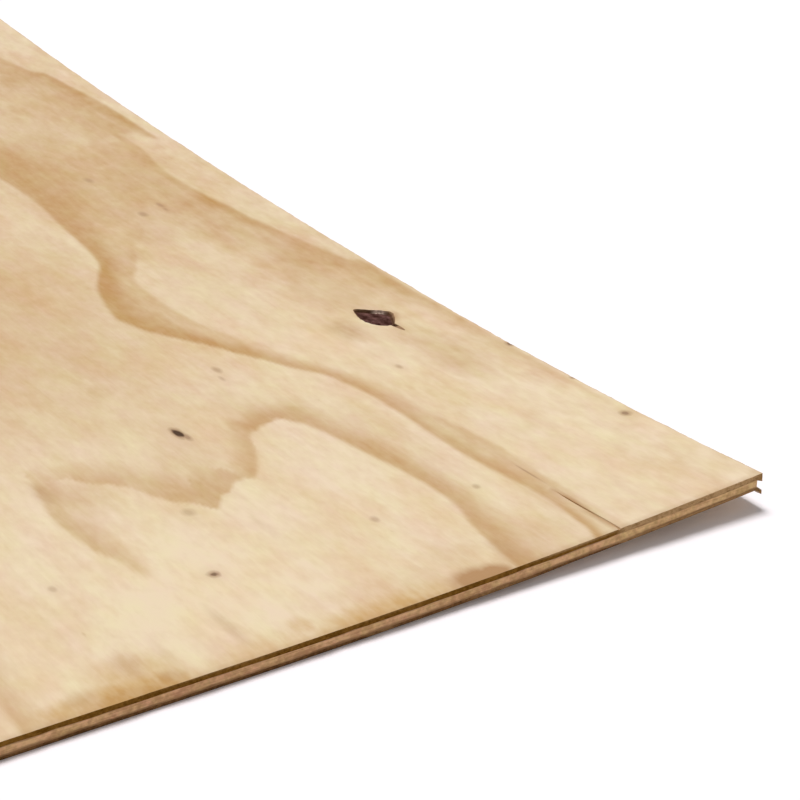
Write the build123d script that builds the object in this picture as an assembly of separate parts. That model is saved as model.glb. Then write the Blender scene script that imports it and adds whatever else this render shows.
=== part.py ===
from build123d import *
import math
import os

# Sheet, cut square, with its length along the grain of the face
sheet_length = 1219.2
sheet_width = 609.6

# Veneers, from the floor up
back_thickness = 2.8
core_thickness = 5.6
face_thickness = 3.5

# Warp: the sheet lies flat, but both corners of its right long edge curl up. That edge touches the floor only
# along a short stretch, and a bend line runs from each end of the stretch to the sheet's nearer end
touch_from_front = 419.0
touch_stretch = 30.0
front_bend_from_edge = 397.0
front_bend_radius = 2855.0
back_bend_from_edge = 609.0
back_bend_radius = 3609.0

# Open knot hole through the face veneer, with a short split running on from it along the grain
knot_across = 27.0
knot_along = 41.0
knot_from_edge = 55.0
knot_from_front = 387.0
knot_split_length = 16.0
knot_split_width = 1.8
knot_outline_shares = [
    (1.00, 0.10),
    (0.18, 0.66),
    (-0.62, 1.00),
    (-1.00, 0.05),
    (-0.66, -0.72),
    (0.12, -1.00),
    (0.78, -0.46),
]

# Split in the face veneer, open at the front end and closing along the grain
split_from_edge = 118.5
split_length = 76.0
split_width = 1.6

# Place at the front right corner where the core veneer stops short of the long edge
core_gap_depth = 4.5
core_gap_length = 60.0

# How far a cut runs past the wood's edge
overrun = 5.0

right_edge = sheet_width / 2
front_end = -sheet_length / 2
back_end = sheet_length / 2
sheet_diagonal = math.hypot(sheet_length, sheet_width)
touch_middle = front_end + touch_from_front


def bend_plane(start, finish):
    """Upright plane across a bend line: x to the left of the way from start to finish, y up."""
    along = (finish - start).normalized()
    return Plane(origin=start, x_dir=along.cross(Vector(0, 0, -1)), z_dir=along)


def bent_layer(plane, radius, low, high):
    """Layer between two heights, flat up to the bend line and then round an axis one radius above it."""
    sweep = math.degrees(sheet_diagonal / radius)
    with BuildPart() as layer:
        with BuildSketch(plane):
            with BuildLine():
                under = Line((-sheet_diagonal, low), (0, low))
                under_curl = JernArc(under @ 1, under % 1, radius - low, sweep)
                over = Line((-sheet_diagonal, high), (0, high))
                over_curl = JernArc(over @ 1, over % 1, radius - high, sweep)
                Line(under @ 0, over @ 0)
                Line(under_curl @ 1, over_curl @ 1)
            make_face()
        extrude(amount=sheet_diagonal, both=True)
    return layer.part


def plan_block(front, back):
    """Upright block over the sheet's full width, between two places along its length."""
    return Pos(0, (front + back) / 2, 0) * Box(sheet_width, back - front, sheet_diagonal)


def upright(outline):
    """Cutter with the given plan outline, tall enough for every veneer."""
    return extrude(outline, amount=sheet_diagonal / 2, both=True)


# Both bend planes have their x towards the corner that curls up
front_bend = bend_plane(
    Vector(right_edge, touch_middle - touch_stretch / 2),
    Vector(right_edge - front_bend_from_edge, front_end),
)
back_bend = bend_plane(
    Vector(right_edge - back_bend_from_edge, back_end),
    Vector(right_edge, touch_middle + touch_stretch / 2),
)


def veneer(low, high):
    """One veneer of the warped sheet, whole, between two heights measured where the sheet lies flat."""
    front_half = bent_layer(front_bend, front_bend_radius, low, high) & plan_block(front_end, touch_middle)
    back_half = bent_layer(back_bend, back_bend_radius, low, high) & plan_block(touch_middle, back_end)
    return front_half + back_half


def knot_hole():
    """Cutter for the knot hole: a rounded slanting outline, and a wedge for the split that runs on from it."""
    middle = Vector(right_edge - knot_from_edge, front_end + knot_from_front)
    rim = [
        middle + Vector(across * knot_across / 2, along * knot_along / 2)
        for across, along in knot_outline_shares
    ]
    hole = make_face(Spline(*rim, periodic=True))
    split_root = min(rim, key=lambda point: point.Y)
    split_mouth = split_root + Vector(0, knot_split_width)
    wedge = Polyline(
        split_mouth - Vector(knot_split_width / 2, 0),
        split_root - Vector(0, knot_split_length),
        split_mouth + Vector(knot_split_width / 2, 0),
        close=True,
    )
    return upright(hole + make_face(wedge))


def end_split():
    """Cutter for the split: a wedge, widest past the front end and closing to a point along the grain."""
    middle = right_edge - split_from_edge
    mouth = front_end - overrun
    wedge = Polyline(
        (middle - split_width / 2, mouth),
        (middle + split_width / 2, mouth),
        (middle, front_end + split_length),
        close=True,
    )
    return upright(make_face(wedge))


def core_gap():
    """Cutter for the core's missing corner: a long wedge, deepest at the front end."""
    corner = Polyline(
        (right_edge, front_end),
        (right_edge - core_gap_depth, front_end),
        (right_edge, front_end + core_gap_length),
        close=True,
    )
    return upright(make_face(corner))


core_top = back_thickness + core_thickness
face_top = core_top + face_thickness

plies = {
    "back_ply": veneer(0, back_thickness),
    "core_ply": veneer(back_thickness, core_top) - core_gap(),
    "face_ply": veneer(core_top, face_top) - knot_hole() - end_split(),
}

os.makedirs("parts", exist_ok=True)
for name, ply in plies.items():
    ply.label = name
    export_step(ply, f"parts/{name}.step")
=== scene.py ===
import math
from typing import NamedTuple

import bpy
import numpy as np
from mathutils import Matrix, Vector


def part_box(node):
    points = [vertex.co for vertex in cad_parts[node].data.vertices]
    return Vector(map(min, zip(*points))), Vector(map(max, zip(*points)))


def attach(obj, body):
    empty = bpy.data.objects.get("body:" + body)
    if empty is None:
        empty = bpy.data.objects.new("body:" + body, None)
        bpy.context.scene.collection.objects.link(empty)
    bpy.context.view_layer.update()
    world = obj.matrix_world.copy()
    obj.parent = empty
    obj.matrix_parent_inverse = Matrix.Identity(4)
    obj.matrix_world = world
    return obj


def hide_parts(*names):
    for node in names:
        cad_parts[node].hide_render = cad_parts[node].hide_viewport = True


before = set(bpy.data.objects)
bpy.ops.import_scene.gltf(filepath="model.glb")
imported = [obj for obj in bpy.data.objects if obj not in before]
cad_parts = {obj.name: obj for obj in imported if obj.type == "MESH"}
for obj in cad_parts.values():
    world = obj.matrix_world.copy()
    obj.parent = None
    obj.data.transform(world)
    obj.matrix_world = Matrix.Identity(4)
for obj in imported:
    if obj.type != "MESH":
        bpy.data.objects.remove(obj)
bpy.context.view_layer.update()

MM = 0.001

# The sheet on the flat, read from the frame: x across it, y along its grain, z up
LEFT, FRONT, FACE_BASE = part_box("face_ply")[0]
RIGHT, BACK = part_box("face_ply")[1][:2]
CORE_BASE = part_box("core_ply")[0][2]
FACE_TOP = FACE_BASE + 3.5 * MM
FLOOR = 0.0

# The warp: the right edge touches the floor between two places. One bend line joins the front one to the
# front end, and another joins the back one to the back end. A bend is two points of its line, with the raised
# corner on the left, and the circle's radius.
TOUCH_FRONT = FRONT + 404.0 * MM
TOUCH_BACK = FRONT + 434.0 * MM
FRONT_BEND_FROM_EDGE = 397.0 * MM
FRONT_BEND_RADIUS = 2855.0 * MM
BACK_BEND_FROM_EDGE = 609.0 * MM
BACK_BEND_RADIUS = 3609.0 * MM
BENDS = (
    ((RIGHT, TOUCH_FRONT), (RIGHT - FRONT_BEND_FROM_EDGE, FRONT), FRONT_BEND_RADIUS),
    ((RIGHT - BACK_BEND_FROM_EDGE, BACK), (RIGHT, TOUCH_BACK), BACK_BEND_RADIUS),
)

# The knot hole and the short core, as in the part's source
KNOT = (RIGHT - 55.0 * MM, FRONT + 387.0 * MM)
KNOT_HALF = (13.5 * MM, 20.5 * MM)
KNOT_OUTLINE_SHARES = (
    (1.00, 0.10), (0.18, 0.66), (-0.62, 1.00), (-1.00, 0.05), (-0.66, -0.72), (0.12, -1.00), (0.78, -0.46),
)
KNOT_SPLIT_LENGTH = 16.0 * MM
CORE_GAP_DEPTH = 4.5 * MM
CORE_GAP_LENGTH = 60.0 * MM

# Direction of the split beside the knot hole, in degrees, and rows of points round the hole: shares of the
# way from a window in the face to the rim, then (share of the rim's radius, depth in millimetres)
KNOT_SPLIT_TURN = -84.0
RIM_SHARES = (0.16, 0.33, 0.50, 0.66, 0.80, 0.91, 0.97, 1.0)
HOLE_ROWS = ((0.985, 0.7), (0.97, 1.5), (0.94, 2.6), (0.90, 3.1), (0.74, 3.25), (0.5, 3.2), (0.22, 3.25))
WALL_FOOT = 3.1

# That window: how far it reaches from the hole's middle to both sides, to the front and to the back
WINDOW_SIDE = 26.0 * MM
WINDOW_FRONT = 50.0 * MM
WINDOW_BACK = 44.0 * MM

# The split from the front end has all but closed, so it is narrower and shallower here than in the source
SPLIT_FROM_EDGE = 118.5 * MM
SPLIT_LENGTH = 76.0 * MM
SPLIT_WIDTH = 1.3 * MM
SPLIT_DEPTH = 0.8 * MM

# Tears at the front right corner: how far they reach from the right edge, and along it
FACE_TEAR = (4.2 * MM, 25.0 * MM)
BACK_TEAR = (5.0 * MM, 36.0 * MM)
TEAR_DULL = (9.0 * MM, 36.0 * MM)
TEAR_STAIN = (9.0 * MM, 40.0 * MM)

# Cells of the fine grid, how much wider they grow away from the front right corner, how many of them one cell
# of a hidden skin or of the underside spans, and rows of points as shares of the way down a veneer's sides
ACROSS_CELLS = 272
ALONG_CELLS = 288
GRID_GRADE = 0.5
HIDDEN_STEP = 4
UNDER_STEP = 2
SIDE_LEVELS = (0.08, 0.28, 0.5, 0.72, 0.94)

# Cells each way before the noise repeats
NOISE_CELLS = 512

# The stage: half the floor's width in metres, its colour and glow, and the strength of the surround
FLOOR_HALF = 12.0
FLOOR_COLOUR = (0.950, 0.905, 0.935, 1.0)
FLOOR_GLOW = 0.04
SURROUND_LIGHT = 0.28
WHITE = (1.0, 1.0, 1.0, 1.0)

# Growth rings that the veneer knife cut through, each a line of (from right edge, from front end, soft width,
# strength), with lengths in millimetres. In its direction of travel, a line is crisp on its right and fades
# on its left.
BAND_LEFT = (
    (140, 1230, 60, 0.7), (172, 1000, 60, 0.7), (170, 860, 60, 0.72), (168, 762, 54, 0.74),
    (172, 707, 46, 0.76), (179, 640, 36, 0.86), (187, 600, 36, 0.92), (207, 556, 34, 0.94),
    (222, 502, 46, 0.94), (222, 478, 46, 0.94), (203, 429, 32, 0.86), (178, 387, 26, 0.76),
    (161, 346, 20, 0.7), (144, 308, 20, 0.68), (135, 260, 22, 0.7), (134, 190, 24, 0.7),
    (134, 150, 22, 0.7), (131, 95, 15, 0.7), (131, 70, 12, 0.72), (131, 50, 11, 0.78),
    (133, 30, 11, 0.88), (134, 16, 11, 0.92), (138, 0, 11, 0.95), (140, -6, 11, 0.95),
)
BAND_LEFT_INNER = (
    (160, 388, 8, 0.0), (166, 414, 10, 0.3), (178, 464, 12, 0.38), (181, 515, 12, 0.38),
    (176, 555, 12, 0.34), (165, 575, 16, 0.38), (155, 592, 20, 0.34), (148, 606, 24, 0.28),
    (136, 626, 32, 0.24), (122, 642, 36, 0.18), (108, 656, 40, 0.0),
)
BAND_LOWER_LINE = (
    (112, -5, 14, 0.2), (112, 50, 16, 0.3), (111, 100, 18, 0.44), (109, 160, 18, 0.44),
    (111, 190, 16, 0.38), (118, 236, 8, 0.0),
)
BAND_RIGHT = (
    (4, 140, 8, 0.0), (4, 180, 10, 0.26), (3, 240, 14, 0.36), (2, 300, 16, 0.44), (2, 350, 18, 0.5),
    (2, 400, 22, 0.6), (4, 484, 32, 0.58), (14, 505, 50, 0.54), (23, 552, 60, 0.5), (31, 606, 70, 0.5),
    (35, 649, 80, 0.48), (40, 680, 86, 0.46), (42, 718, 90, 0.44), (41, 767, 90, 0.42),
    (35, 814, 90, 0.42), (35, 831, 80, 0.36), (36, 850, 60, 0.2), (36, 875, 50, 0.0),
)
BAND_RIGHT_RIM = (
    (16, 515, 10, 0.0), (23, 552, 14, 0.2), (32, 606, 16, 0.52), (36, 650, 16, 0.48), (41, 700, 16, 0.42),
    (42, 740, 14, 0.38), (40, 775, 14, 0.34), (35, 814, 14, 0.3), (35, 831, 12, 0.16), (36, 846, 10, 0.0),
)
BAND_UPPER = (
    (10, 822, 4, 0.0), (11, 830, 8, 0.35), (12, 845, 18, 0.52), (12, 861, 40, 0.58), (12, 902, 64, 0.6),
    (14, 945, 64, 0.58), (19, 988, 66, 0.58), (26, 1025, 70, 0.58), (34, 1041, 76, 0.58),
    (46, 1120, 80, 0.56), (58, 1230, 80, 0.56),
)
BAND_UPPER_RIM = (
    (10, 822, 4, 0.0), (11, 830, 8, 0.4), (12, 845, 12, 0.5), (12, 861, 15, 0.52), (12, 902, 16, 0.54),
    (14, 945, 16, 0.5), (20, 988, 16, 0.4), (27, 1025, 16, 0.28), (34, 1041, 16, 0.0),
)
FLAME = (
    (404, 292, 20, 0.0), (388, 274, 30, 0.24), (366, 257, 40, 0.48), (347, 232, 46, 0.52),
    (338, 207, 54, 0.56), (329, 195, 68, 0.6), (316, 181, 88, 0.67), (304, 192, 80, 0.67),
    (293, 196, 64, 0.64), (285, 201, 50, 0.6), (272, 200, 32, 0.56), (259, 220, 25, 0.52),
    (243, 249, 25, 0.5), (232, 264, 34, 0.66), (216, 268, 40, 0.76), (208, 270, 42, 0.76),
    (203, 261, 38, 0.72), (198, 246, 34, 0.7), (193, 224, 30, 0.7), (182, 150, 27, 0.74),
    (182, 100, 27, 0.72), (190, 60, 34, 0.68), (199, -5, 44, 0.74),
)
STREAK = (
    (398, 285, 18, 0.3), (401, 265, 30, 0.58), (405, 249, 40, 0.6), (411, 223, 38, 0.58),
    (410, 197, 34, 0.58), (408, 173, 28, 0.56), (402, 156, 20, 0.54), (398, 134, 16, 0.4),
    (396, 112, 8, 0.0),
)
LEFT_FLAME = (
    (300, 1230, 90, 0.56), (318, 1080, 80, 0.62), (352, 940, 70, 0.66), (372, 800, 60, 0.66),
    (362, 660, 50, 0.62), (376, 540, 44, 0.56), (398, 440, 34, 0.46), (420, 360, 24, 0.0),
)
LEFT_LINE = (
    (420, 1230, 70, 0.54), (446, 1050, 66, 0.58), (478, 900, 60, 0.62), (486, 750, 50, 0.62),
    (462, 610, 46, 0.6), (458, 470, 40, 0.58), (482, 320, 34, 0.54), (512, 180, 30, 0.5),
    (532, 60, 26, 0.46), (538, -5, 26, 0.46),
)
LEFT_EDGE_LINE = (
    (548, 1230, 50, 0.48), (566, 1000, 44, 0.52), (576, 780, 40, 0.56), (560, 560, 40, 0.56),
    (566, 340, 34, 0.52), (584, 150, 30, 0.5), (590, -5, 30, 0.5),
)
RING_LINES = (
    BAND_LEFT, BAND_LEFT_INNER, BAND_LOWER_LINE, BAND_RIGHT, BAND_RIGHT_RIM, BAND_UPPER, BAND_UPPER_RIM,
    FLAME, STREAK, LEFT_FLAME, LEFT_LINE, LEFT_EDGE_LINE,
)

# Broad tan clouds in the early wood, in part painted shade where the light falls off towards the back left
# of the sheet: (from right edge, from front end, half width, half length, strength), with lengths in
# millimetres
CLOUDS = (
    (320, 560, 170, 330, 0.45), (110, 780, 100, 240, 0.48), (42, 490, 66, 130, 0.46),
    (250, 1050, 260, 260, 0.3), (64, 300, 110, 190, 0.1), (480, 800, 200, 300, 0.3),
    (14, 850, 40, 420, 0.12), (300, 350, 140, 110, 0.18), (78, 610, 44, 120, 0.36),
    (150, 1000, 130, 160, 0.46), (18, 310, 30, 80, 0.18), (152, 790, 30, 120, 0.52),
    (128, 520, 70, 120, 0.24), (160, 205, 22, 90, 0.2), (112, 664, 30, 40, 0.46),
    (205, 640, 34, 90, 0.34), (236, 470, 30, 80, 0.3), (88, 930, 50, 110, 0.46), (124, 50, 14, 70, 0.32),
    (49, 334, 20, 38, 0.46), (296, 380, 20, 24, 0.5), (55, 60, 70, 90, 0.06), (60, 880, 44, 60, 0.46),
    (34, 862, 16, 40, 0.5), (14, 690, 30, 150, 0.2), (158, 15, 36, 50, 0.22), (222, 35, 22, 26, 0.22),
    (290, 30, 50, 16, 0.12), (300, 250, 40, 60, 0.3), (120, 632, 32, 42, 0.5), (150, 600, 18, 26, 0.42),
    (130, 800, 60, 160, 0.6), (47, 288, 24, 56, 0.48), (100, 872, 42, 74, 0.54), (225, 314, 24, 40, 0.25),
    (375, 239, 24, 36, 0.26), (80, 394, 12, 14, 0.25), (255, 20, 26, 24, 0.22), (125, 690, 40, 50, 0.56),
    (35, 450, 26, 40, 0.52),
)

# Paler places in the early wood, in the same form
BLEACHED = (
    (370, 86, 80, 70, 0.11), (330, 40, 50, 40, 0.04), (100, 260, 50, 110, 0.04), (520, 60, 60, 60, 0.06),
    (107, 357, 30, 38, 0.13), (150, 469, 24, 50, 0.05), (25, 352, 16, 30, 0.06), (66, 820, 30, 50, 0.06),
    (70, 640, 22, 40, 0.06), (25, 548, 20, 40, 0.06), (35, 404, 14, 24, 0.06), (235, 139, 40, 60, 0.03),
    (235, 390, 30, 50, 0.05), (250, 548, 24, 40, 0.06), (80, 700, 24, 60, 0.06), (260, 288, 20, 30, 0.05),
)

# Stains, in the same form
STAINS = (
    (90, 376, 15, 25, 0.48), (227, 4, 20, 16, 1.35), (215, 1, 15, 16, 1.6), (454, 34, 10, 18, 0.34),
    (438, 8, 13, 10, 0.4), (494, 14, 12, 13, 0.32), (470, 4, 34, 9, 0.34), (383, 42, 5, 30, 0.36),
    (430, 34, 5, 26, 0.18), (401, 258, 8, 20, 0.36), (300, 138, 4, 26, 0.16), (195, 10, 14, 16, 0.3),
    (3, 3, 6, 9, 0.4), (192, 24, 9, 20, 0.38),
)

# Ochre grime along the front end, in the same form
GRIME = (
    (292, 0, 62, 22, 0.84), (372, 0, 66, 22, 0.38), (462, 0, 46, 26, 1.2), (456, 26, 26, 24, 0.58),
    (346, 16, 10, 14, 0.54), (498, 6, 34, 16, 0.85), (438, 16, 18, 22, 0.5),
)

# Pin knots and specks, in the same form
PIN_KNOTS = (
    (282, 290, 3.8, 8.8, 0.97), (279, 281, 2.4, 7.0, 0.6), (359, 101, 3.6, 4.4, 0.78),
    (9, 136, 3.8, 4.8, 0.66), (1.5, 286, 3.0, 5.0, 0.72), (236, 107, 2.6, 4.4, 0.4),
    (332, 182, 4.4, 5.6, 0.36), (207, 367, 2.6, 6.0, 0.46), (211, 352, 1.8, 5.0, 0.34),
    (92, 299, 2.4, 4.5, 0.42), (156, 107, 2.4, 3.5, 0.4), (451, 139, 2.6, 4.0, 0.35),
    (82, 687, 2.2, 7.0, 0.44), (83, 676, 1.8, 5.0, 0.36), (104, 677, 3.2, 6.0, 0.46),
    (107, 772, 3.2, 7.0, 0.34), (470, 640, 4.0, 7.0, 0.8), (250, 820, 3.0, 6.0, 0.6),
    (540, 420, 3.4, 6.0, 0.7), (1, 208, 2.0, 3.0, 0.6),
)

# The fine check that runs on from the split along the grain, in the same form
SPLIT_CHECK = (116.6, 102, 0.8, 16.0, 0.50)

# Share of the late wood's colour in plain early wood
EARLY_TONE = 0.12

# Chips out of the front end's upper arris: (from right edge, half length, depth), in millimetres
FRONT_CHIPS = ((112, 4, 1.3), (240, 9, 0.9), (330, 5, 0.8), (455, 12, 1.0), (62, 5, 0.7), (520, 6, 0.9))

# Where the sawn ends are cleaner: from this place to the right edge, and over stretches, each
# (from right edge, half length, share, share of the veneer's depth down to which it goes), in millimetres
CLEAN_FROM_EDGE = 124.0 * MM
FACE_CLEAN = ((152, 34, 0.6, 0.6), (410, 60, 0.25, 0.5), (290, 30, 0.2, 0.5))
BACK_CLEAN = ((298, 12, 0.55, 1.2), (212, 24, 0.6, 1.2))


class Sides(NamedTuple):
    """A veneer's sawn sides: roughness and streaks in millimetres, seed and material numbers."""

    rough: float
    streak: float
    seed: int
    ends: int
    edges: int
    under: int


# Material numbers of the face and the back, and of the core. The core's fibres run across the sheet, so its
# edge grain shows at the sheet's ends, and its end grain along the long edges.
SKIN, END_GRAIN, EDGE_GRAIN, PIT, WALL = range(5)
CORE_EDGE_GRAIN, CORE_END_GRAIN = range(2)
FACE_SIDES = Sides(rough=0.30, streak=2.2, seed=61, ends=END_GRAIN, edges=EDGE_GRAIN, under=EDGE_GRAIN)
CORE_SIDES = Sides(
    rough=0.55, streak=9.0, seed=63, ends=CORE_EDGE_GRAIN, edges=CORE_END_GRAIN, under=CORE_EDGE_GRAIN,
)
BACK_SIDES = Sides(rough=0.35, streak=2.2, seed=65, ends=END_GRAIN, edges=EDGE_GRAIN, under=SKIN)


def eased(t):
    """Cubic easing of t, held between 0 and 1: 3 t squared less 2 t cubed."""
    t = np.clip(t, 0.0, 1.0)
    return t * t * (3.0 - 2.0 * t)


def blurred_noise(x, y, size_x, size_y, seed):
    """Smooth noise from -1 to 1: random heights at the corners of cells, eased from corner to corner."""
    heights = np.random.default_rng(seed).uniform(-1.0, 1.0, (NOISE_CELLS, NOISE_CELLS))
    u, v = x / size_x, y / size_y
    column, row = np.floor(u).astype(int), np.floor(v).astype(int)
    across, along = eased(u - column), eased(v - row)
    left, right = column % NOISE_CELLS, (column + 1) % NOISE_CELLS
    near, far = row % NOISE_CELLS, (row + 1) % NOISE_CELLS
    near_height = heights[left, near] * (1.0 - across) + heights[right, near] * across
    far_height = heights[left, far] * (1.0 - across) + heights[right, far] * across
    return near_height * (1.0 - along) + far_height * along


def layered_noise(x, y, *layers):
    """Sum of smooth noises: (cell across, cell along, height, seed) each, with the cells in millimetres."""
    return sum(
        height * blurred_noise(x, y, across * MM, along * MM, seed) for across, along, height, seed in layers
    )


def curled(x, y, height):
    """Height of the layer that lies at this height on the flat.

    Past a bend line by q, it follows a circle about an axis above the line:
    z = R - sqrt((R - height) squared - q squared).
    """
    z = np.zeros_like(x) + height
    for (x0, y0), (x1, y1), radius in BENDS:
        length = math.hypot(x1 - x0, y1 - y0)
        past = np.maximum(((x - x0) * (y0 - y1) + (y - y0) * (x1 - x0)) / length, 0.0)
        z = z + radius - height - np.sqrt((radius - height) ** 2 - past ** 2)
    return z


def graded(start, finish, cells, grade):
    """Grid lines from start to finish at t plus grade times t squared, so their spacing grows on the way."""
    t = np.linspace(0.0, 1.0, cells + 1)
    return start + (finish - start) * (t + grade * t * t) / (1.0 + grade)


X_LINES = graded(RIGHT, LEFT, ACROSS_CELLS, GRID_GRADE)[::-1]
Y_LINES = graded(FRONT, BACK, ALONG_CELLS, GRID_GRADE)


def plan(step):
    """Places in plan of the grid of every step-th line."""
    return np.meshgrid(X_LINES[::step], Y_LINES[::step])


def smooth_line(points, per_span):
    """Catmull-Rom curve through rows of numbers: each span blends its two ends with the slopes at them."""
    rows = np.asarray(points, dtype=float)
    padded = np.concatenate([2 * rows[:1] - rows[1:2], rows, 2 * rows[-1:] - rows[-2:-1]])
    t = np.linspace(0.0, 1.0, per_span, endpoint=False)[None, :, None]
    p0, p1, p2, p3 = (padded[i:len(padded) - 3 + i, None, :] for i in range(4))
    spans = p1 + 0.5 * t * (p2 - p0 + t * (2 * p0 - 5 * p1 + 4 * p2 - p3 + t * (3 * (p1 - p2) + p3 - p0)))
    return np.concatenate([spans.reshape(-1, rows.shape[1]), rows[-1:]])


def line_tone(px, py, cx, cy, width, strength):
    """Late wood that one ring line through (cx, cy) adds at points (px, py).

    The line's nearest place gives a distance, positive on its left, a soft width and a strength. The tone is
    that strength, eased in across 5 mm at the line and eased out to the soft width.
    """
    dx, dy = np.diff(cx), np.diff(cy)
    ox, oy = px[:, None] - cx[None, :-1], py[:, None] - cy[None, :-1]
    t = np.clip((ox * dx + oy * dy) / (dx * dx + dy * dy), 0.0, 1.0)
    gap = (ox - t * dx) ** 2 + (oy - t * dy) ** 2
    best = gap.argmin(axis=1)
    rows = np.arange(len(px))
    t, distance = t[rows, best], np.sqrt(gap[rows, best])
    turn = dx[best] * oy[rows, best] - dy[best] * ox[rows, best]
    distance = np.where(turn > 0.0, distance, -distance)
    wide = width[best] * (1.0 - t) + width[best + 1] * t
    strong = strength[best] * (1.0 - t) + strength[best + 1] * t
    fade = eased(1.15 * (1.0 - distance / wide))
    crisp = eased((distance + 2.5 * MM) / (5.0 * MM))
    return strong * fade * crisp


def ring_tone(x, y):
    """Late wood from 0 to 1 at points of the face: 1 less the product of what each ring line leaves.

    The points are moved by noise first, mostly along the grain, so that the lines are jagged. Points out of a
    line's reach are skipped, and the rest are taken a few thousand at a time.
    """
    jag = layered_noise(x, y, (4.0, 60.0, 2.0, 3), (9.0, 70.0, 4.0, 4), (27.0, 120.0, 2.0, 6)) * MM
    sway = layered_noise(x, y, (40.0, 60.0, 1.8, 5)) * MM
    patchy = 1.0 + layered_noise(x, y, (9.0, 24.0, 0.05, 7), (24.0, 50.0, 0.03, 8))
    px, py = x + sway, y + jag
    left_over = np.ones_like(x)
    for line in RING_LINES:
        from_edge, from_front, width, strength = smooth_line(line, per_span=7).T
        cx, cy = RIGHT - from_edge * MM, FRONT + from_front * MM
        width, strength = np.maximum(width, 2.0) * MM, np.clip(strength, 0.0, 1.0)
        reach = width.max() + 4.0 * MM
        inside = (px > cx.min() - reach) & (px < cx.max() + reach)
        inside = inside & (py > cy.min() - reach) & (py < cy.max() + reach)
        picked = np.flatnonzero(inside)
        for part in np.array_split(picked, max(1, len(picked) // 6000)):
            tone = line_tone(px[part], py[part], cx, cy, width, strength)
            left_over[part] = left_over[part] * (1.0 - tone)
    return (1.0 - left_over) * patchy


def blobs(x, y, spots):
    """Soft ovals, joined by their maximum: strength times eased 1.25 less the share of the radius."""
    total = np.zeros_like(x)
    for from_edge, from_front, half_width, half_length, strength in spots:
        across = (x - RIGHT + from_edge * MM) / (half_width * MM)
        along = (y - FRONT - from_front * MM) / (half_length * MM)
        total = np.maximum(total, strength * eased(1.25 - np.hypot(across, along)))
    return total


def border(columns, rows):
    """Numbers of the border vertices of a grid stored row by row, anticlockwise from its first corner."""
    wide = columns + 1
    return np.concatenate([
        np.arange(columns), np.arange(rows) * wide + columns,
        rows * wide + np.arange(columns, 0, -1), np.arange(rows, 0, -1) * wide,
    ])


FINE_RING = border(ACROSS_CELLS, ALONG_CELLS)


def on_ring(grid, ring):
    """The border of a grid of (x, y, z) as three flat arrays."""
    return [values.ravel()[ring] for values in grid]


def grid_faces(columns, rows, first):
    """Quads of a grid stored row by row from the vertex `first`, facing up when x and y grow."""
    row, column = np.meshgrid(np.arange(rows), np.arange(columns), indexing="ij")
    corner = (first + row * (columns + 1) + column).ravel()
    return np.stack([corner, corner + 1, corner + columns + 2, corner + columns + 1], axis=1)


def band_faces(upper, lower):
    """Quads between two closed rings of as many vertices, facing outwards from an anticlockwise ring."""
    return np.stack([upper, lower, np.roll(lower, -1), np.roll(upper, -1)], axis=1)


def step_faces(coarse, fine, step, coarse_above):
    """Faces from one edge of a coarse ring to the `step` edges of the fine ring that lie along it."""
    count = len(coarse)
    run = (np.arange(count)[:, None] * step + np.arange(step + 1)) % len(fine)
    ends = np.stack([np.roll(coarse, -1), coarse], axis=1)
    faces = np.concatenate([fine[run], ends], axis=1)
    return faces if coarse_above else faces[:, ::-1]


class Shell:
    """A mesh in the making: blocks of vertices, and blocks of faces that each have a material number."""

    def __init__(self):
        self.points = []
        self.faces = []
        self.count = 0

    def add(self, x, y, z):
        """Adds points and returns their numbers in the shape of x."""
        block = np.stack([np.ravel(x), np.ravel(y), np.ravel(z)], axis=1)
        numbers = np.arange(self.count, self.count + len(block)).reshape(np.shape(x))
        self.points.append(block)
        self.count += len(block)
        return numbers

    def skin(self, faces, material):
        """Adds an array of faces, one row each; material is one number, or one for each face."""
        self.faces.append((faces, np.broadcast_to(material, len(faces))))

    def build(self, name, materials, sharp):
        """Makes the object: joins the blocks, drops unused points and shades smooth up to the sharp angle.

        Returns it with the places of its vertices.
        """
        points = np.concatenate(self.points)
        loops = np.concatenate([faces.ravel() for faces, _ in self.faces])
        sizes = np.concatenate([np.full(len(faces), faces.shape[1]) for faces, _ in self.faces])
        kinds = np.concatenate([kind for _, kind in self.faces])
        used, loops = np.unique(loops, return_inverse=True)
        points = points[used]
        mesh = bpy.data.meshes.new(name)
        mesh.vertices.add(len(points))
        mesh.vertices.foreach_set("co", points.astype(np.float32).ravel())
        mesh.loops.add(len(loops))
        mesh.loops.foreach_set("vertex_index", loops.astype(np.int32))
        mesh.polygons.add(len(sizes))
        mesh.polygons.foreach_set("loop_start", (np.cumsum(sizes) - sizes).astype(np.int32))
        mesh.polygons.foreach_set("material_index", kinds.astype(np.int32))
        mesh.update(calc_edges=True)
        mesh.validate()
        for material in materials:
            mesh.materials.append(material)
        mesh.shade_smooth()
        mesh.set_sharp_from_angle(angle=math.radians(sharp))
        made = bpy.data.objects.new(name, mesh)
        bpy.context.scene.collection.objects.link(made)
        return made, points


def attribute(made, name, values):
    """Stores one number for each vertex under this name, for the materials to read."""
    layer = made.data.attributes.new(name, "FLOAT", "POINT")
    layer.data.foreach_set("value", values.astype(np.float32))


def joint(x, y, height, seed):
    """Height of the joint between two veneers: the curled layer plus waves of up to 0.7 mm."""
    waves = layered_noise(
        x, y, (55.0, 55.0, 0.25, seed), (14.0, 14.0, 0.20, seed + 1), (5.0, 5.0, 0.25, seed + 10),
    )
    return curled(x, y, height) + waves * MM


def upper_joint(x, y):
    """Height of the joint of face and core."""
    return joint(x, y, FACE_BASE, seed=71)


def lower_joint(x, y):
    """Height of the joint of core and back, dragged down by 0.6 mm at the front end."""
    return joint(x, y, CORE_BASE, seed=73) - 0.6 * MM * eased(1.0 - (y - FRONT) / (12.0 * MM))


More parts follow.
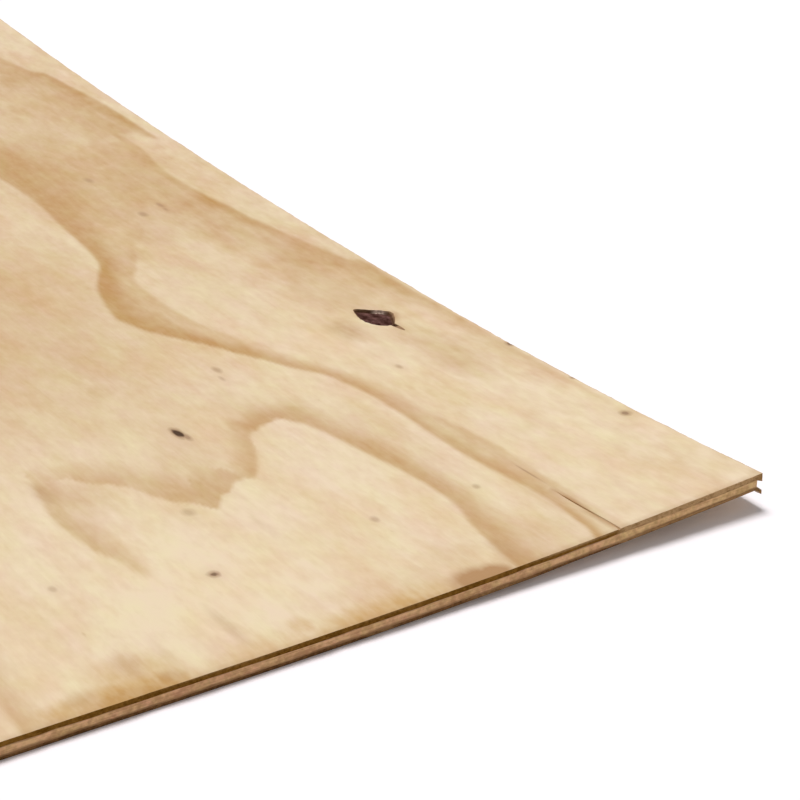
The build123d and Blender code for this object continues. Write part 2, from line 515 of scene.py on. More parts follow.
def face_height(x, y):
    """Top of the sheet: the curled layer less up to 0.22 mm of raised grain and slow hollows."""
    hollow = 0.11 + layered_noise(x, y, (6.0, 200.0, 0.05, 21), (70.0, 240.0, 0.06, 22))
    return curled(x, y, FACE_TOP) - hollow * MM


def torn(x, y, tear):
    """Share of a tear at the front right corner: eased from 1 at the corner to 0 at its two reaches."""
    across, along = tear
    return eased(1.0 - (RIGHT - x) / across) * eased(1.0 - (y - FRONT) / along)


def core_plan(step):
    """The core's own plan: drawn in from the right edge by the gap, most at the front corner."""
    x, y = plan(step)
    gap = CORE_GAP_DEPTH * np.clip(1.0 - (y - FRONT) / CORE_GAP_LENGTH, 0.0, 1.0)
    return x - gap * eased(1.0 - (RIGHT - x) / (40.0 * MM)), y


def face_underside(step):
    """Lower skin of the face: its joint with the core, torn down by 2.6 mm at the front right corner."""
    x, y = plan(step)
    return x, y, upper_joint(x, y) - 2.6 * MM * torn(x, y, FACE_TEAR)


def core_topside(step):
    """Upper skin of the core: its joint with the face."""
    x, y = core_plan(step)
    return x, y, upper_joint(x, y)


def core_underside(step):
    """Lower skin of the core: its joint with the back."""
    x, y = core_plan(step)
    return x, y, lower_joint(x, y)


def back_topside(step):
    """Upper skin of the back: its joint with the core, torn down by 3 mm at the front right corner."""
    x, y = plan(step)
    return x, y, lower_joint(x, y) - 3.0 * MM * torn(x, y, BACK_TEAR)


def back_underside(step):
    """Underside of the sheet: the curled layer at the floor, raised by up to 0.08 mm of grain.

    It is torn down by 4.8 mm at the front right corner. The front arris is worn by 0.7 mm next to the right
    edge, eased to nothing 190 mm from it and 6 mm from the front end.
    """
    x, y = plan(step)
    grain = 0.04 + layered_noise(x, y, (6.0, 200.0, 0.04, 31))
    worn = 0.7 * eased((190.0 * MM - RIGHT + x) / (40.0 * MM)) * eased(1.0 - (y - FRONT) / (6.0 * MM))
    return x, y, curled(x, y, FLOOR) + (grain + worn - 4.8 * torn(x, y, BACK_TEAR)) * MM


def side_strip(shell, top, bottom, sides):
    """Rows of points down the four sides, from the top ring to the bottom ring of (x, y, z) arrays.

    A row lies at its share of the way down, moved inwards by roughness: fine noise with cells as long as the
    veneer's streaks, and coarse noise with cells of 26 mm.
    """
    count = len(top[0])
    rows = []
    for number, level in enumerate(SIDE_LEVELS):
        x, y, z = (a * (1.0 - level) + b * level for a, b in zip(top, bottom))
        fine = blurred_noise(x + y * 1.7, np.full(count, number * 9.0), sides.streak * MM, 1.0, sides.seed)
        coarse = blurred_noise(x - y * 1.3, np.full(count, level * 3.0), 26.0 * MM, 1.0, sides.seed + 1)
        inset = sides.rough * MM * (0.5 + 0.3 * fine + 0.2 * coarse)
        x = np.clip(x, LEFT + inset, RIGHT - inset)
        y = np.clip(y, FRONT + inset, BACK - inset)
        rows.append(shell.add(x, y, z))
    return rows


def add_sides(shell, upper, upper_step, upper_at, underside, under_step, sides):
    """Adds a veneer's sides and its lower skin, a grid of every under_step-th line, below an upper ring.

    upper holds the ring's vertices, one for every upper_step-th of the fine places in upper_at.
    """
    under = shell.add(*underside(under_step))
    strips = side_strip(shell, upper_at, on_ring(underside(1), FINE_RING), sides)
    kinds = np.repeat([sides.ends, sides.edges] * 2, [ACROSS_CELLS, ALONG_CELLS] * 2)
    if upper_step == 1:
        shell.skin(band_faces(upper, strips[0]), kinds)
    else:
        shell.skin(step_faces(upper, strips[0], upper_step, True), kinds[::upper_step])
    for above, below in zip(strips, strips[1:]):
        shell.skin(band_faces(above, below), kinds)
    columns, rows = ACROSS_CELLS // under_step, ALONG_CELLS // under_step
    under_ring = under.ravel()[border(columns, rows)]
    shell.skin(step_faces(under_ring, strips[-1], under_step, False), kinds[::under_step])
    shell.skin(grid_faces(columns, rows, under.ravel()[0])[:, ::-1], sides.under)


def covered_veneer(topside, top_kind, underside, under_step, sides):
    """A veneer under another one: a coarse upper skin, fine rough sides and a lower skin."""
    shell = Shell()
    columns, rows = ACROSS_CELLS // HIDDEN_STEP, ALONG_CELLS // HIDDEN_STEP
    top = shell.add(*topside(HIDDEN_STEP))
    shell.skin(grid_faces(columns, rows, 0), top_kind)
    upper = top.ravel()[border(columns, rows)]
    add_sides(shell, upper, HIDDEN_STEP, on_ring(topside(1), FINE_RING), underside, under_step, sides)
    return shell


def facing(angle, middle, spread):
    """Share of a direction: 1 at the middle angle, falling evenly to 0 at the spread, both in degrees."""
    away = np.abs(np.mod(angle - math.radians(middle) + math.pi, 2.0 * math.pi) - math.pi)
    return np.clip(1.0 - away / math.radians(spread), 0.0, 1.0)


def knot_radius(angle):
    """Rim of the knot hole, as a distance from its middle at an angle.

    A closed smooth curve through the outline's points, read off by angle, plus half a millimetre of ragged
    noise and a narrow spike for the split that runs on from its front end.
    """
    per_span = 16
    shares = np.asarray(KNOT_OUTLINE_SHARES)
    shares = np.concatenate([shares[-2:], shares, shares[:3]])
    curve = smooth_line(shares * np.asarray(KNOT_HALF), per_span)
    turns = np.unwrap(np.arctan2(curve[:, 1], curve[:, 0]))
    if turns[-1] < turns[0]:
        turns, curve = turns[::-1], curve[::-1]
    radius = np.hypot(curve[:, 0], curve[:, 1])
    start = turns[per_span]
    wrapped = start + np.mod(angle - start, 2.0 * math.pi)
    smooth = np.interp(wrapped, turns, radius)
    rag = blurred_noise(np.cos(angle) * 3.0, np.sin(angle) * 3.0, 0.5, 0.5, 41) * 0.5 * MM
    return smooth + rag + KNOT_SPLIT_LENGTH * facing(angle, KNOT_SPLIT_TURN, 6.5)


def face_points():
    """Places of the face grid, with four grid lines drawn together into the split from the front end.

    The outer two of the four are the split's rims, and the inner two its floor, lower by its depth; past the
    split's tip, all four ease back to their own places.
    """
    x, y = plan(1)
    drop = np.zeros_like(x)
    ahead = y[:, 0] - FRONT
    middle = RIGHT - SPLIT_FROM_EDGE + 0.3 * MM * np.sin(ahead * 90.0)
    half = 0.5 * SPLIT_WIDTH * np.clip(1.0 - ahead / SPLIT_LENGTH, 0.0, 1.0) ** 0.7
    first = int(np.searchsorted(X_LINES, RIGHT - SPLIT_FROM_EDGE)) - 2
    ease = eased((ahead - SPLIT_LENGTH) / (60.0 * MM))
    rim, floor = half + 0.30 * MM, half * 0.8 + 0.03 * MM
    for number, place in enumerate((-rim, -floor, floor, rim)):
        own = X_LINES[first + number]
        x[:, first + number] = (middle + place) * (1.0 - ease) + own * ease
    depth = SPLIT_DEPTH * np.clip((SPLIT_LENGTH - ahead) / (20.0 * MM), 0.0, 1.0)
    drop[:, first + 1] = depth
    drop[:, first + 2] = depth
    return x, y, face_height(x, y) - drop


def nibbled(x, y, z):
    """Wears the face's border: inwards by noise of up to 0.8 mm or a chip, and down by 0.6 of that."""
    bx, by, bz = on_ring((x, y, z), FINE_RING)
    wear = 0.40 + layered_noise(bx + by, bx - by, (4.0, 4.0, 0.22, 51), (30.0, 30.0, 0.18, 52))
    at_front = by < FRONT + 0.5 * MM
    for from_edge, half_length, depth in FRONT_CHIPS:
        share = np.abs(bx - RIGHT + from_edge * MM) / (half_length * MM)
        wear = np.maximum(wear, np.where(at_front, depth * eased(1.3 - share), 0.0))
    wear = wear * MM
    nx, ny, nz = x.copy(), y.copy(), z.copy()
    nx.ravel()[FINE_RING] = np.clip(bx, LEFT + wear, RIGHT - wear)
    ny.ravel()[FINE_RING] = np.clip(by, FRONT + wear, BACK - wear)
    nz.ravel()[FINE_RING] = bz - 0.6 * wear
    return nx, ny, nz


def fill_window(shell, ring, x, y):
    """Fills the window round the knot hole, from its ring inwards, with rows on rays from the hole's middle.

    Face rows lie at shares of the way from ring to rim, and drop by 0.25 mm there. Hole rows lie at shares of
    the rim's radius and at their depths, moved by a slope of the wall and by ragged noise, with a rough
    floor, and at a fifth of their depth far out in the split.
    """
    wx, wy = x.ravel()[ring] - KNOT[0], y.ravel()[ring] - KNOT[1]
    angle, span = np.arctan2(wy, wx), np.hypot(wx, wy)
    ux, uy = np.cos(angle), np.sin(angle)
    rim = knot_radius(angle)
    outer = ring
    for share in RIM_SHARES:
        reach = span * (1.0 - share) + rim * share
        px, py = KNOT[0] + ux * reach, KNOT[1] + uy * reach
        lip = 0.25 * MM * eased((share - 0.9) / 0.1)
        inner = shell.add(px, py, face_height(px, py) - lip)
        shell.skin(band_faces(outer, inner)[:, ::-1], SKIN)
        outer = inner
    rag = 3.5 * MM * blurred_noise(ux * 2.0, uy * 2.0, 0.35, 0.35, 43)
    in_split = facing(angle, KNOT_SPLIT_TURN, 9.0) > 0.0
    slope = 0.20 * facing(angle, -30.0, 60.0) + 0.15 * facing(angle, 133.0, 30.0)
    for share, depth in HOLE_ROWS:
        reach = rim * share * (1.0 - slope * min(depth / WALL_FOOT, 1.0)) + rag * (1.0 - share)
        px, py = KNOT[0] + ux * reach, KNOT[1] + uy * reach
        on_floor = share < 0.93
        deep = depth - 0.09 * on_floor * (1.0 + layered_noise(px, py, (4.0, 5.0, 1.0, 44)))
        deep = deep * (1.0 - 0.8 * in_split * eased((reach - 19.0 * MM) / (6.0 * MM)))
        inner = shell.add(px, py, curled(px, py, FACE_TOP) - deep * MM)
        on_wall = (in_split & (reach > 17.0 * MM)) | (share > 0.89)
        shell.skin(band_faces(outer, inner)[:, ::-1], np.where(on_wall, WALL, PIT))
        outer = inner
    shell.skin(outer[None, :], PIT)


def make_face(materials):
    """Face veneer: a fine top grid with the knot hole in a window of it, rough sides and a coarse back."""
    shell = Shell()
    x, y, z = nibbled(*face_points())
    top = shell.add(x, y, z)
    quads = grid_faces(ACROSS_CELLS, ALONG_CELLS, 0)
    column, row = quads[:, 0] % (ACROSS_CELLS + 1), quads[:, 0] // (ACROSS_CELLS + 1)
    c0, c1 = np.searchsorted(X_LINES, [KNOT[0] - WINDOW_SIDE, KNOT[0] + WINDOW_SIDE])
    r0, r1 = np.searchsorted(Y_LINES, [KNOT[1] - WINDOW_FRONT, KNOT[1] + WINDOW_BACK])
    in_window = (column >= c0) & (column < c1) & (row >= r0) & (row < r1)
    shell.skin(quads[~in_window], SKIN)
    fill_window(shell, top[r0:r1 + 1, c0:c1 + 1].ravel()[border(c1 - c0, r1 - r0)], x, y)
    upper_at = on_ring((x, y, z), FINE_RING)
    add_sides(shell, top.ravel()[FINE_RING], 1, upper_at, face_underside, HIDDEN_STEP, FACE_SIDES)
    return shell.build("face_veneer", materials, sharp=38.0)


def make_core(materials):
    """Core veneer: coarse skins that meet the other two, rough sides, short at the front right corner."""
    shell = covered_veneer(core_topside, CORE_EDGE_GRAIN, core_underside, HIDDEN_STEP, CORE_SIDES)
    return shell.build("core_veneer", materials, sharp=50.0)


def make_back(materials):
    """Back veneer: a coarse skin against the core, rough sides, and a finer underside that shows its figure.

    At the front right corner, where no core holds it, it is torn and hangs by a few millimetres.
    """
    shell = covered_veneer(back_topside, EDGE_GRAIN, back_underside, UNDER_STEP, BACK_SIDES)
    return shell.build("back_veneer", materials, sharp=38.0)


def node(tree, kind, inputs=None, **settings):
    """Adds a shader node, sets its fields, and links or sets its inputs."""
    made = tree.nodes.new(kind)
    for name, value in settings.items():
        setattr(made, name, value)
    for socket, value in (inputs or {}).items():
        if isinstance(value, bpy.types.NodeSocket):
            tree.links.new(value, made.inputs[socket])
        else:
            made.inputs[socket].default_value = value
    return made


def maths(tree, operation, first, second=0.0, third=0.0, clamp=False):
    """One sum on values; returns its output."""
    inputs = {0: first, 1: second, 2: third}
    return node(tree, "ShaderNodeMath", inputs, operation=operation, use_clamp=clamp).outputs[0]


def vectors(tree, operation, first, second):
    """One sum on vectors; returns its output."""
    return node(tree, "ShaderNodeVectorMath", {0: first, 1: second}, operation=operation).outputs[0]


def blend(tree, share, first, second, kind="MIX"):
    """Mixes two colours by a share; returns the colour."""
    made = node(tree, "ShaderNodeMix", {0: share, 6: first, 7: second}, data_type="RGBA", blend_type=kind)
    return made.outputs[2]


def ranged(tree, value, low, high, to_low=0.0, to_high=1.0):
    """Maps a value from one range to another, held at both ends."""
    made = node(tree, "ShaderNodeMapRange", {0: value, 1: low, 2: high, 3: to_low, 4: to_high}, clamp=True)
    return made.outputs[0]


def mark(tree, name):
    """Reads an attribute of the piece."""
    return node(tree, "ShaderNodeAttribute", attribute_name=name).outputs["Fac"]


def group(name, inputs, outputs):
    """A shader node group with these sockets; returns it with its input and output nodes."""
    tree = bpy.data.node_groups.new(name, "ShaderNodeTree")
    for label, kind in inputs:
        tree.interface.new_socket(label, in_out="INPUT", socket_type=kind)
    for label, kind in outputs:
        tree.interface.new_socket(label, in_out="OUTPUT", socket_type=kind)
    return tree, tree.nodes.new("NodeGroupInput"), tree.nodes.new("NodeGroupOutput")


def fibre_group():
    """Wood fibre: noise on object coordinates, fine and broad stretched along the grain, and mottling.

    Blotch is the broadest mottling, Fleck is a sixth of its size, and Hue lies between them. A layer is its
    output, the input that shapes it, and the noise's scale, detail and roughness.
    """
    layers = (
        ("Fine", "Stretch", 4.0, 3.0, 0.6), ("Broad", "Stretch", 0.8, 2.0, 0.5),
        ("Blotch", "Mottle", 1.0, 4.0, 0.6), ("Fleck", "Mottle", 6.0, 2.0, 0.6),
        ("Hue", "Mottle", 2.2, 3.0, 0.6),
    )
    tree, given, out = group(
        "wood fibre",
        (("Stretch", "NodeSocketVector"), ("Mottle", "NodeSocketVector")),
        [(label, "NodeSocketFloat") for label, _, _, _, _ in layers],
    )
    place = node(tree, "ShaderNodeTexCoord").outputs["Object"]
    for number, (label, shape, scale, detail, roughness) in enumerate(layers):
        scaled = vectors(tree, "MULTIPLY", place, given.outputs[shape])
        apart = vectors(tree, "ADD", scaled, (3.7 * number, 1.9 * number, 0.0))
        inputs = {"Vector": apart, "Scale": scale, "Detail": detail, "Roughness": roughness}
        tree.links.new(node(tree, "ShaderNodeTexNoise", inputs).outputs[0], out.inputs[label])
    return tree


def pin_knot_group():
    """Pin knots: ovals on object coordinates, dark in the middle with a soft rim, joined by their maximum."""
    tree, given, out = group(
        "pin knots",
        (("Ragged", "NodeSocketFloat"),),
        (("Dark", "NodeSocketFloat"), ("Halo", "NodeSocketFloat")),
    )
    place = node(tree, "ShaderNodeTexCoord").outputs["Object"]
    dark, halo = None, None
    for from_edge, from_front, half_width, half_length, strength in PIN_KNOTS + (SPLIT_CHECK,):
        middle = (RIGHT - from_edge * MM, FRONT + from_front * MM, 0.0)
        shape = (1.0 / (half_width * MM), 1.0 / (half_length * MM), 0.0)
        scaled = vectors(tree, "MULTIPLY", vectors(tree, "SUBTRACT", place, middle), shape)
        length = node(tree, "ShaderNodeVectorMath", {0: scaled}, operation="LENGTH").outputs["Value"]
        length = maths(tree, "ADD", length, given.outputs["Ragged"])
        core = ranged(tree, length, 1.35, 0.40, 0.0, strength)
        rim = ranged(tree, length, 3.2, 0.9, 0.0, strength)
        dark = core if dark is None else maths(tree, "MAXIMUM", dark, core)
        halo = rim if halo is None else maths(tree, "MAXIMUM", halo, rim)
    tree.links.new(dark, out.inputs["Dark"])
    tree.links.new(halo, out.inputs["Halo"])
    return tree


FIBRE = fibre_group()
KNOTS = pin_knot_group()


def wood(name, roughness, specular):
    """A new material with its Principled shader; returns both with the node tree."""
    made = bpy.data.materials.new(name)
    made.use_nodes = True
    tree = made.node_tree
    shader = tree.nodes["Principled BSDF"]
    shader.inputs["Roughness"].default_value = roughness
    shader.inputs["Specular IOR Level"].default_value = specular
    return made, tree, shader


def fibre(tree, stretch, mottle):
    """Places the fibre group with its own stretch and mottling; returns its outputs, by name."""
    return node(tree, "ShaderNodeGroup", {"Stretch": stretch, "Mottle": mottle}, node_tree=FIBRE).outputs


def dress(tree, shader, colour, height, strength, distance):
    """Gives the shader its colour, and relief from a height value, with the distance in millimetres."""
    bump = node(tree, "ShaderNodeBump", {"Strength": strength, "Distance": distance * MM, "Height": height})
    tree.links.new(colour, shader.inputs["Base Color"])
    tree.links.new(bump.outputs[0], shader.inputs["Normal"])


# Early and late wood, the tints that mottle them, and what has soiled them
PALE = (0.772, 0.632, 0.447, 1.0)
LATE = (0.462, 0.262, 0.090, 1.0)
BACK_PALE = (0.780, 0.600, 0.400, 1.0)
BACK_LATE = (0.470, 0.270, 0.120, 1.0)
PINK = (0.990, 0.925, 0.865, 1.0)
ROSY = (1.000, 0.957, 0.985, 1.0)
STRAW = (0.992, 1.018, 0.922, 1.0)
STAIN = (0.410, 0.228, 0.098, 1.0)
OCHRE = (0.510, 0.290, 0.085, 1.0)
KNOT_BROWN = (0.300, 0.160, 0.085, 1.0)
KNOT_DARK = (0.042, 0.020, 0.008, 1.0)

# Tints of a sawn edge, the first two in patches and the others by how clean the cut is
EDGE_ROSY = (0.985, 0.915, 0.910, 1.0)
EDGE_STRAW = (0.940, 1.030, 0.820, 1.0)
EDGE_SOILED = (1.000, 0.970, 0.950, 1.0)
EDGE_CLEAN = (0.990, 1.020, 0.930, 1.0)

# Wall and floor of the knot hole
WALL_BROWN = (0.380, 0.230, 0.125, 1.0)
WALL_DARK = (0.095, 0.042, 0.022, 1.0)
WALL_PALE = (0.800, 0.600, 0.480, 1.0)
PIT_BLACK = (0.040, 0.014, 0.010, 1.0)
PIT_PURPLE = (0.190, 0.092, 0.080, 1.0)

# Stretches of the fibre noise: thin level lines on end grain, and streaks along and across the sheet
LEVEL_LINES = (90.0, 90.0, 420.0)
STREAKS_ALONG = (300.0, 8.0, 300.0)
STREAKS_ACROSS = (8.0, 300.0, 300.0)


def veneer_material(name, pale, late, knots):
    """Veneer face: pale early to tan late wood by the ring attribute, with fibre, mottling and stains."""
    made, tree, shader = wood(name, roughness=0.6, specular=0.25)
    grain = fibre(tree, (170.0, 7.0, 170.0), (26.0, 11.0, 26.0))
    ring, stain, ochre = (mark(tree, label) for label in ("ring", "stain", "ochre"))
    tone = 0.0
    for label, strength in (("Fine", 0.10), ("Broad", 0.20), ("Blotch", 0.62), ("Fleck", 0.40)):
        tone = maths(tree, "ADD", tone, maths(tree, "MULTIPLY_ADD", grain[label], strength, -0.5 * strength))
    tone = maths(tree, "MULTIPLY", tone, maths(tree, "MULTIPLY_ADD", ring, -0.2, 1.0))
    tone = maths(tree, "ADD", tone, ring, clamp=True)
    colour = blend(tree, tone, pale, late)
    colour = blend(tree, ranged(tree, grain["Blotch"], 0.45, 0.75), colour, PINK, "MULTIPLY")
    tint = blend(tree, ranged(tree, grain["Hue"], 0.3, 0.7), ROSY, STRAW)
    colour = blend(tree, 1.0, colour, tint, "MULTIPLY")
    patchy = ranged(tree, maths(tree, "ADD", grain["Broad"], grain["Fleck"]), 0.76, 1.20, 0.62, 1.00)
    colour = blend(tree, maths(tree, "MULTIPLY", ochre, patchy), colour, OCHRE)
    even = maths(tree, "MULTIPLY_ADD", patchy, 0.6, 0.4)
    colour = blend(tree, maths(tree, "MULTIPLY", stain, even, clamp=True), colour, STAIN)
    colour = blend(tree, ranged(tree, grain["Fleck"], 0.74, 0.90, 0.0, 0.35), colour, STAIN)
    roughness = maths(tree, "MULTIPLY_ADD", grain["Fine"], 0.25, 0.48)
    if knots:
        ragged = maths(tree, "MULTIPLY_ADD", grain["Fleck"], 1.2, -0.6)
        spots = node(tree, "ShaderNodeGroup", {"Ragged": ragged}, node_tree=KNOTS).outputs
        colour = blend(tree, maths(tree, "MULTIPLY", spots["Halo"], 0.22), colour, STAIN)
        colour = blend(tree, spots["Dark"], colour, KNOT_BROWN)
        colour = blend(tree, ranged(tree, spots["Dark"], 0.55, 1.0), colour, KNOT_DARK)
        roughness = maths(tree, "MULTIPLY_ADD", spots["Dark"], 0.3, roughness, clamp=True)
    tree.links.new(roughness, shader.inputs["Roughness"])
    dress(tree, shader, colour, grain["Fine"], strength=0.18, distance=0.6)
    return made


def sawn_tone(tree, grain, streaks):
    """Tone of a sawn surface: a share of the streaks, 0.6 of the mottling, and flecks about zero."""
    tone = maths(tree, "MULTIPLY_ADD", grain["Fleck"], 0.7, -0.35)
    tone = maths(tree, "MULTIPLY_ADD", grain["Blotch"], 0.6, tone)
    return maths(tree, "MULTIPLY_ADD", grain["Fine"], streaks, tone)


def end_material(name, light, dark, clean):
    """Cut ends of the fibres: dark, with level ring lines, and paler where the cut is clean."""
    made, tree, shader = wood(name, roughness=0.9, specular=0.03)
    grain = fibre(tree, LEVEL_LINES, (60.0, 60.0, 60.0))
    tone = sawn_tone(tree, grain, 0.7)
    colour = blend(tree, ranged(tree, tone, 0.45, 0.85), dark, light)
    clean_share = maths(tree, "MULTIPLY", mark(tree, "fresh"), ranged(tree, tone, 0.42, 0.72, 0.45, 1.0))
    colour = blend(tree, clean_share, colour, clean)
    dress(tree, shader, colour, grain["Fine"], strength=0.6, distance=0.8)
    return made


def edge_material(name, light, dark, glue, streaks):
    """Sawn edge along the fibres: streaks that follow them, dark by the glue lines, yellower where clean."""
    made, tree, shader = wood(name, roughness=0.75, specular=0.18)
    grain = fibre(tree, streaks, (45.0, 45.0, 45.0))
    colour = blend(tree, ranged(tree, sawn_tone(tree, grain, 0.6), 0.45, 0.75), dark, light)
    patches = blend(tree, ranged(tree, grain["Hue"], 0.3, 0.7), EDGE_ROSY, EDGE_STRAW)
    colour = blend(tree, 1.0, colour, patches, "MULTIPLY")
    clean_share = maths(tree, "MULTIPLY", mark(tree, "fresh"), 2.0, clamp=True)
    colour = blend(tree, 1.0, colour, blend(tree, clean_share, EDGE_SOILED, EDGE_CLEAN), "MULTIPLY")
    rim = maths(tree, "ABSOLUTE", maths(tree, "MULTIPLY_ADD", mark(tree, "depth"), 2.0, -1.0))
    rim = maths(tree, "ADD", rim, maths(tree, "MULTIPLY_ADD", grain["Blotch"], 0.9, -0.45))
    colour = blend(tree, ranged(tree, rim, 0.64, 1.00, 0.0, 0.80), colour, glue)
    dress(tree, shader, colour, grain["Fine"], strength=0.5, distance=0.6)
    return made


def wall_material():
    """Wall of the knot hole: brown wood, darker with depth, with pale patches by the pale attribute."""
    made, tree, shader = wood("knot hole wall", roughness=0.85, specular=0.1)
    grain = fibre(tree, (90.0, 60.0, 300.0), (110.0, 80.0, 110.0))
    mottle = maths(tree, "MULTIPLY_ADD", grain["Blotch"], 0.8, -0.4)
    # Darker with depth down the wall, and mottled.
    darker_with_depth = maths(tree, "ADD", mark(tree, "depth"), mottle)
    colour = blend(tree, ranged(tree, darker_with_depth, 0.0, 0.60), WALL_BROWN, WALL_DARK)
    # A pale patch on the wall where the pale attribute is set, broken up by flecks.
    pale_flecks = ranged(tree, grain["Fleck"], 0.35, 0.60, 0.4, 1.0)
    colour = blend(tree, maths(tree, "MULTIPLY", mark(tree, "pale"), pale_flecks), colour, WALL_PALE)
    dress(tree, shader, colour, grain["Fine"], strength=0.6, distance=0.8)
    return made


def pit_material():
    """Floor of the knot hole: nearly black bark-stained wood, purple brown in patches."""
    made, tree, shader = wood("knot hole wood", roughness=0.9, specular=0.03)
    grain = fibre(tree, (120.0, 60.0, 300.0), (120.0, 70.0, 120.0))
    colour = blend(tree, ranged(tree, grain["Blotch"], 0.42, 0.68), PIT_BLACK, PIT_PURPLE)
    dress(tree, shader, colour, grain["Blotch"], strength=0.8, distance=1.5)
    return made


face_skin = veneer_material("face veneer", PALE, LATE, knots=True)
back_skin = veneer_material("back veneer", BACK_PALE, BACK_LATE, knots=False)
face_end = end_material(
    "veneer end grain",
    light=(0.270, 0.128, 0.022, 1.0), dark=(0.135, 0.056, 0.004, 1.0), clean=(0.560, 0.350, 0.165, 1.0),
)
back_end = end_material(
    "back veneer end grain",
    light=(0.290, 0.148, 0.056, 1.0), dark=(0.122, 0.054, 0.017, 1.0), clean=(0.460, 0.275, 0.120, 1.0),
)
edge_grain = edge_material(
    "veneer edge grain",
    light=(0.680, 0.470, 0.260, 1.0), dark=(0.450, 0.270, 0.120, 1.0), glue=(0.240, 0.120, 0.050, 1.0),
    streaks=STREAKS_ALONG,
)
core_end = end_material(
    "core end grain",
    light=(0.360, 0.215, 0.095, 1.0), dark=(0.180, 0.095, 0.032, 1.0), clean=(0.420, 0.260, 0.120, 1.0),
)
core_edge = edge_material(
    "core edge grain",
    light=(0.840, 0.530, 0.310, 1.0), dark=(0.560, 0.315, 0.165, 1.0), glue=(0.270, 0.135, 0.055, 1.0),
    streaks=STREAKS_ACROSS,
)
pit = pit_material()
wall = wall_material()


def side_marks(made, points, top, base, clean, stretches):
    """Stores how deep in its veneer each point lies, and how clean the cut is.

    It is cleaner near the right edge, up to the share `clean`, and over the stretches, less where it is torn.
    """
    x, y, z = points.T
    depth = np.clip((curled(x, y, top) - z) / (top - base), 0.0, 1.0)
    attribute(made, "depth", depth)
    fresh = clean * eased((x - RIGHT + CLEAN_FROM_EDGE) / (12.0 * MM))
    for from_edge, half_length, share, depth_to in stretches:
        near = eased(1.3 - np.abs(x - RIGHT + from_edge * MM) / (half_length * MM))
        fresh = np.maximum(fresh, share * near * eased(3.0 * (depth_to - depth)))
    attribute(made, "fresh", fresh * (1.0 - 0.6 * torn(x, y, TEAR_DULL)))


def knot_marks(x, y):
    """Marks round the knot hole, by direction and by distance from its rim.

    Returns the pale share of its wall, the rim on its left that is painted paler as a highlight, and the
    brown rim on its right.
    """
    across, along = x - KNOT[0], y - KNOT[1]
    angle = np.arctan2(along, across)
    past = np.hypot(across, along) - knot_radius(angle)
    near = eased(1.0 - past / (6.0 * MM)) * (past > -0.5 * MM)
    pale_wall = eased(1.5 * facing(angle, 50.0, 34.0))
    # The rim on the left is marked for a painted highlight.
    return pale_wall, near * eased(facing(angle, 205.0, 60.0)), near * eased(facing(angle, -30.0, 60.0))


def split_stain(x, y):
    """Stain along the split: eased out across a half width of 0.65 to 1.1 mm, weaker near the split's tip."""
    left = 1.0 - (y - FRONT) / SPLIT_LENGTH
    half = (0.65 + 0.45 * np.abs(left)) * MM
    line = eased(1.25 - np.abs(x - RIGHT + SPLIT_FROM_EDGE) / half)
    return line * np.clip(0.4 + 3.0 * left, 0.0, 1.2) * (left > 0.0)


def arris_stain(x, y):
    """Soiled arrises: 0.70 at the long edges, gone within 1.2 mm, and 0.38 at the front, gone within 6 mm."""
    long_edges = 0.70 * eased(1.0 - np.minimum(RIGHT - x, x - LEFT) / (1.2 * MM))
    front_end = 0.38 * np.clip(1.0 - (y - FRONT) / (6.0 * MM), 0.0, 1.0)
    return np.maximum(long_edges, front_end)


def face_marks(made, points):
    """Stores the face's marks.

    The ring mark joins ring lines, clouds and early wood as 1 less the product of what each leaves, plus
    mottling near the right edge, less the bleached places and a painted highlight on the left rim of the
    knot hole. The clouds are tan early wood and in part painted shade.
    """
    x, y = points[:, 0], points[:, 1]
    pale_wall, rim_highlight, brown_rim = knot_marks(x, y)
    attribute(made, "pale", pale_wall)
    # The tan clouds are early wood and in part painted shade, darker towards the back left.
    tan = 1.0 - (1.0 - ring_tone(x, y)) * (1.0 - blobs(x, y, CLOUDS)) * (1.0 - EARLY_TONE)
    mottle = layered_noise(x, y, (7.0, 14.0, 0.085, 81), (16.0, 30.0, 0.085, 82))
    mottle = mottle * eased(1.2 - (RIGHT - x) / (150.0 * MM))
    # The left rim of the knot hole is painted paler here, as a highlight.
    attribute(made, "ring", tan + mottle - blobs(x, y, BLEACHED) - 0.22 * rim_highlight)
    stains = (blobs(x, y, STAINS), split_stain(x, y), arris_stain(x, y), 0.8 * brown_rim)
    attribute(made, "stain", np.maximum.reduce(stains))
    attribute(made, "ochre", blobs(x, y, GRIME))


def back_marks(made, points):
    """Stores the underside's marks: the face's ring lines turned half round, and a stain at the tear."""
    x, y = points[:, 0], points[:, 1]
    attribute(made, "ring", 1.0 - (1.0 - ring_tone(-x, -y)) * (1.0 - EARLY_TONE))
    attribute(made, "stain", torn(x, y, TEAR_STAIN))
    attribute(made, "ochre", np.zeros_like(x))


face, face_at = make_face((face_skin, face_end, edge_grain, pit, wall))
side_marks(face, face_at, FACE_TOP, FACE_BASE, clean=1.0, stretches=FACE_CLEAN)
face_marks(face, face_at)
core, core_at = make_core((core_edge, core_end))
side_marks(core, core_at, FACE_BASE, CORE_BASE, clean=0.5, stretches=())
back, back_at = make_back((back_skin, back_end, edge_grain))
side_marks(back, back_at, CORE_BASE, FLOOR, clean=0.75, stretches=BACK_CLEAN)
back_marks(back, back_at)

for piece, replaced, finish in (
    (face, "face_ply", "face_veneer"), (core, "core_ply", "core_veneer"), (back, "back_ply", "back_veneer"),
):
    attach(piece, "root")
    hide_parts(replaced)


def seen(tree):
    """1 on rays that reach the eye, straight or by way of gloss or glass, and 0 on the rest."""
    rays = node(tree, "ShaderNodeLightPath").outputs
    direct = maths(tree, "MAXIMUM", rays["Is Camera Ray"], rays["Is Glossy Ray"])
    return maths(tree, "MAXIMUM", direct, rays["Is Transmission Ray"])


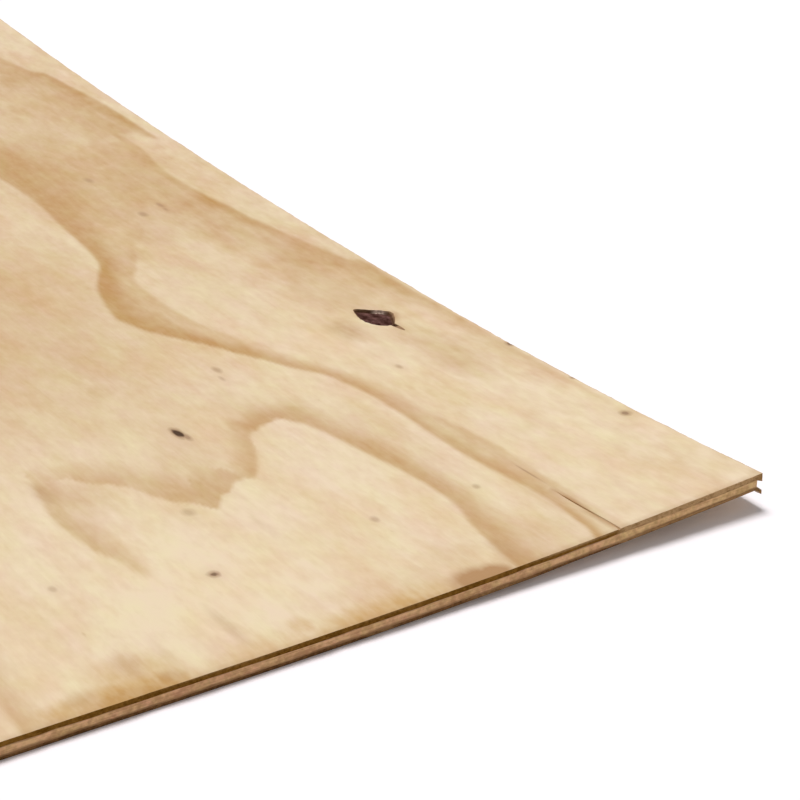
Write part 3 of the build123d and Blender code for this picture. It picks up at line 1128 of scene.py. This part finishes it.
def aimed(name, data, location, aim):
    """Adds a light or camera at a place, looking along its aim."""
    made = bpy.data.objects.new(name, data)
    made.location = location
    made.rotation_euler = Vector(aim).to_track_quat("-Z", "Y").to_euler()
    bpy.context.scene.collection.objects.link(made)
    return made


def make_floor():
    """A plain pale floor, a wide square; to the camera it glows a little, so that it reads as white."""
    corners = [(x * FLOOR_HALF, y * FLOOR_HALF, FLOOR) for x, y in ((-1, -1), (1, -1), (1, 1), (-1, 1))]
    mesh = bpy.data.meshes.new("floor")
    mesh.from_pydata(corners, [], [(0, 1, 2, 3)])
    made = bpy.data.objects.new("floor", mesh)
    bpy.context.scene.collection.objects.link(made)
    material, tree, shader = wood("pale floor", roughness=0.9, specular=0.0)
    shader.inputs["Base Color"].default_value = FLOOR_COLOUR
    strength = maths(tree, "MULTIPLY", seen(tree), FLOOR_GLOW)
    glow = node(tree, "ShaderNodeEmission", {"Color": WHITE, "Strength": strength})
    both = node(tree, "ShaderNodeAddShader", {0: shader.outputs[0], 1: glow.outputs[0]})
    tree.links.new(both.outputs[0], tree.nodes["Material Output"].inputs["Surface"])
    mesh.materials.append(material)


def make_light():
    """One broad soft light from high up and a little behind, in a pale surround that is white to the eye."""
    lamp = bpy.data.lights.new("overhead", "SUN")
    lamp.angle = math.radians(24.0)
    lamp.energy = 2.66
    aimed("overhead", lamp, location=(0.0, 0.85, 6.0), aim=(0.0, -2.0, -6.0))
    world = bpy.data.worlds.new("surround")
    bpy.context.scene.world = world
    world.use_nodes = True
    tree = world.node_tree
    background = tree.nodes["Background"]
    background.inputs["Color"].default_value = WHITE
    tree.links.new(ranged(tree, seen(tree), 0.0, 1.0, SURROUND_LIGHT, 1.0), background.inputs["Strength"])


def make_camera():
    """The photograph's view: from the left of the front end, 25 degrees above the floor, with a long lens."""
    lens = bpy.data.cameras.new("camera")
    lens.lens = 112.5
    lens.sensor_width = 36.0
    lens.clip_end = 60.0
    bpy.context.scene.camera = aimed(
        "camera", lens, location=(-0.70105, -1.71095, 0.77398), aim=(0.494566, 0.757091, -0.426870),
    )


make_floor()
make_light()
make_camera()
bpy.context.scene.view_settings.view_transform = "Standard"
